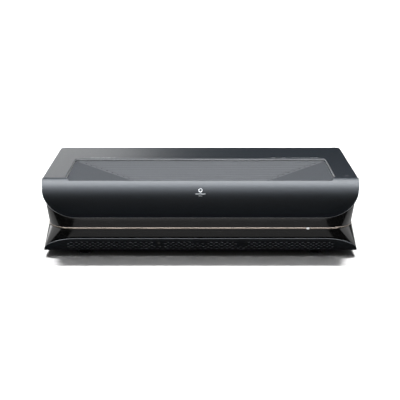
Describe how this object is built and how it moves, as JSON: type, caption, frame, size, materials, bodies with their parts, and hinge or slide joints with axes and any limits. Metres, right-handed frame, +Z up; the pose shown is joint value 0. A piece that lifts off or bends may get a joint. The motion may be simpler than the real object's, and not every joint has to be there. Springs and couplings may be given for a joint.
{
  "type": "home projector",
  "caption": "Long, low ultra-short-throw home projector with a sliding lens cover, rounded front visor, pinched glossy waist, perforated base, rear sockets and levelling feet.",
  "frame": {"origin": "centre of the footprint, on the surface the projector stands on", "axes": "front faces -Y, +X to the right as seen from the front, +Z up"},
  "size_m": [0.6, 0.347, 0.152],
  "materials": {
    "shell_paint": "metallic satin paint over moulded plastic",
    "gloss_black": "piano black",
    "satin_black": "fine moulded texture",
    "trim_metal": "champagne anodised",
    "badge_metal": "satin",
    "steel": "plain",
    "alloy": "cast, bead blasted",
    "copper": "bare copper",
    "glass": "coated, clear",
    "mirror_coat": "front-silvered",
    "board": "solder mask",
    "light": "frosted",
    "rubber": "matt",
    "nylon": "natural"
  },
  "bodies": {
    "cabinet": {"top_cover": "shell_paint", "front_visor": "shell_paint", "front_grille": "shell_paint", "upper_waist": "gloss_black", "lower_waist": "gloss_black", "trim_ring": "trim_metal", "base_pan": "satin_black", "rear_panel": "satin_black", "left_vent_grille": "satin_black", "right_vent_grille": "satin_black", "status_light": "light", "front_badge": "badge_metal", "remote_sensor": "glass", "left_cover_rail": "satin_black", "right_cover_rail": "satin_black", "cover_motor": "steel", "lens_well": "satin_black", "window_glass": "glass", "projection_mirror": "mirror_coat", "lens_barrel": "satin_black", "front_lens": "glass", "focus_motor": "steel", "engine_housing": "alloy", "chip_board": "board", "laser_module": "alloy", "heat_sink": "alloy", "front_heat_pipe": "copper", "rear_heat_pipe": "copper", "left_fan_frame": "satin_black", "right_fan_frame": "satin_black", "left_speaker_box": "satin_black", "right_speaker_box": "satin_black", "left_speaker_driver": "satin_black", "right_speaker_driver": "satin_black", "main_board": "board", "power_supply": "alloy", "hdmi_port_a": "steel", "hdmi_port_b": "steel", "hdmi_port_c": "steel", "usb_port_a": "steel", "usb_port_b": "steel", "network_port": "steel", "optical_port": "satin_black", "power_inlet": "satin_black"},
    "sliding_cover": {"lens_cover": "shell_paint", "cover_rack": "nylon"},
    "drive_pinion": {"cover_pinion": "nylon"},
    "focus_gear": {"focus_ring": "nylon"},
    "focus_drive": {"focus_pinion": "nylon"},
    "left_rotor": {"left_fan_rotor": "satin_black"},
    "right_rotor": {"right_fan_rotor": "satin_black"},
    "button": {"power_button": "satin_black"},
    "front_left_ring": {"front_left_foot_ring": "satin_black"},
    "front_left_stem": {"front_left_foot_stem": "rubber"},
    "front_right_ring": {"front_right_foot_ring": "satin_black"},
    "front_right_stem": {"front_right_foot_stem": "rubber"},
    "rear_left_ring": {"rear_left_foot_ring": "satin_black"},
    "rear_left_stem": {"rear_left_foot_stem": "rubber"},
    "rear_right_ring": {"rear_right_foot_ring": "satin_black"},
    "rear_right_stem": {"rear_right_foot_stem": "rubber"}
  },
  "joints": [
    {"name": "cover_slide", "type": "slide", "parent": "cabinet", "child": "sliding_cover", "axis": [0, 1, 0], "range_m": [0, 0.125]},
    {"name": "cover_pinion_spin", "type": "hinge", "parent": "cabinet", "child": "drive_pinion", "pos_m": [0.2435, 0.028, 0.1333], "axis": [1, 0, 0], "range_deg": [-955.5, 0.5]},
    {"name": "focus_turn", "type": "hinge", "parent": "cabinet", "child": "focus_gear", "pos_m": [0, 0.006, 0.072], "axis": [0, 1, 0], "range_deg": [-20, 20]},
    {"name": "focus_pinion_spin", "type": "hinge", "parent": "cabinet", "child": "focus_drive", "pos_m": [0.045, 0.006, 0.072], "axis": [0, 1, 0], "range_deg": [-80.5, 80.5]},
    {"name": "left_fan_spin", "type": "hinge", "parent": "cabinet", "child": "left_rotor", "pos_m": [-0.2505, 0.096, 0.066], "axis": [1, 0, 0], "continuous": true},
    {"name": "right_fan_spin", "type": "hinge", "parent": "cabinet", "child": "right_rotor", "pos_m": [0.2535, 0.06, 0.066], "axis": [1, 0, 0], "continuous": true},
    {"name": "power_button_press", "type": "slide", "parent": "cabinet", "child": "button", "axis": [0, 0, -1], "range_m": [0, 0.001], "stiffness_N_per_m": 600},
    {"name": "front_left_foot_turn", "type": "hinge", "parent": "cabinet", "child": "front_left_ring", "pos_m": [-0.224, -0.124, 0.0087], "axis": [0, 0, 1], "range_deg": [0, 1728]},
    {"name": "front_left_foot_extend", "type": "slide", "parent": "cabinet", "child": "front_left_stem", "axis": [0, 0, -1], "range_m": [0, 0.00601]},
    {"name": "front_right_foot_turn", "type": "hinge", "parent": "cabinet", "child": "front_right_ring", "pos_m": [0.224, -0.124, 0.0087], "axis": [0, 0, 1], "range_deg": [0, 1728]},
    {"name": "front_right_foot_extend", "type": "slide", "parent": "cabinet", "child": "front_right_stem", "axis": [0, 0, -1], "range_m": [0, 0.00601]},
    {"name": "rear_left_foot_turn", "type": "hinge", "parent": "cabinet", "child": "rear_left_ring", "pos_m": [-0.224, 0.13, 0.0087], "axis": [0, 0, 1], "range_deg": [0, 1728]},
    {"name": "rear_left_foot_extend", "type": "slide", "parent": "cabinet", "child": "rear_left_stem", "axis": [0, 0, -1], "range_m": [0, 0.00601]},
    {"name": "rear_right_foot_turn", "type": "hinge", "parent": "cabinet", "child": "rear_right_ring", "pos_m": [0.224, 0.13, 0.0087], "axis": [0, 0, 1], "range_deg": [0, 1728]},
    {"name": "rear_right_foot_extend", "type": "slide", "parent": "cabinet", "child": "rear_right_stem", "axis": [0, 0, -1], "range_m": [0, 0.00601]}
  ],
  "couplings": [
    {"joint": "cover_pinion_spin", "follows": "cover_slide", "rad_per_m": -133.33},
    {"joint": "focus_pinion_spin", "follows": "focus_turn", "ratio": -4},
    {"joint": "front_left_foot_extend", "follows": "front_left_foot_turn", "m_per_rad": 0.00019894},
    {"joint": "front_right_foot_extend", "follows": "front_right_foot_turn", "m_per_rad": 0.00019894},
    {"joint": "rear_left_foot_extend", "follows": "rear_left_foot_turn", "m_per_rad": 0.00019894},
    {"joint": "rear_right_foot_extend", "follows": "rear_right_foot_turn", "m_per_rad": 0.00019894}
  ]
}
